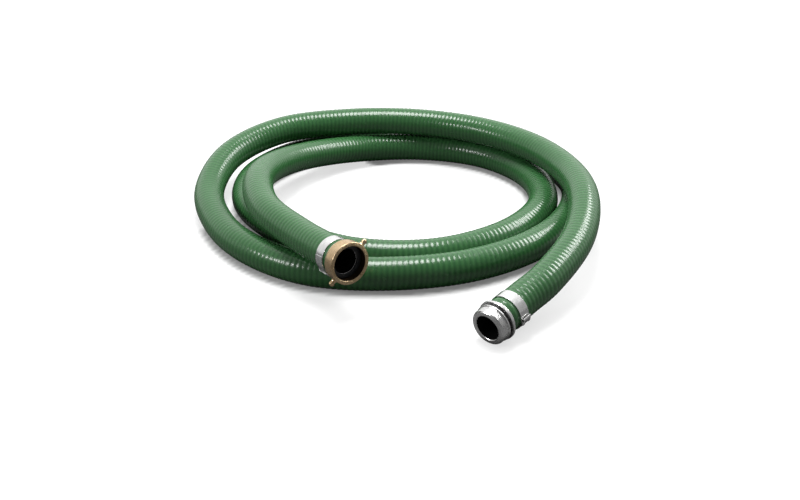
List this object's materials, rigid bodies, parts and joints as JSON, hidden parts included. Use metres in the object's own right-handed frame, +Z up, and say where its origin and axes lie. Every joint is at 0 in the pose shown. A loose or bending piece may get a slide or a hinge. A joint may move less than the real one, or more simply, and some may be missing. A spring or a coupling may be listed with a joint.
{
  "type": "suction hose",
  "caption": "Ribbed green PVC suction hose lying in loose turns, with a pin-lug swivel nut on one end and a threaded nipple on the other, each held by a steel band.",
  "frame": {"origin": "centre of the whole object's box, on the floor it lies on", "axes": "+Z up. +Y away from the viewer of the picture, along the longest side of the turns. +X to the viewer's right"},
  "size_m": [0.8163, 0.9325, 0.1366],
  "materials": {
    "vinyl": "glossy moulded green vinyl with shallow ribs",
    "aluminium": "turned, bright",
    "brass": "cast and turned, satin",
    "steel": "bright strip",
    "rubber": "matt black"
  },
  "bodies": {
    "hose_body": {"hose": "vinyl", "nut_shank": "aluminium", "nut_band": "steel", "nut_band_buckle": "steel", "threaded_nipple": "aluminium", "nipple_band": "steel", "nipple_band_buckle": "steel"},
    "nut_body": {"swivel_nut": "brass", "nut_gasket": "rubber"}
  },
  "joints": [
    {"name": "nut_swivel", "type": "hinge", "parent": "hose_body", "child": "nut_body", "pos_m": [-0.07597, -0.34916, 0.09955], "axis": [0.5883, -0.8067, 0.0558], "continuous": true}
  ]
}
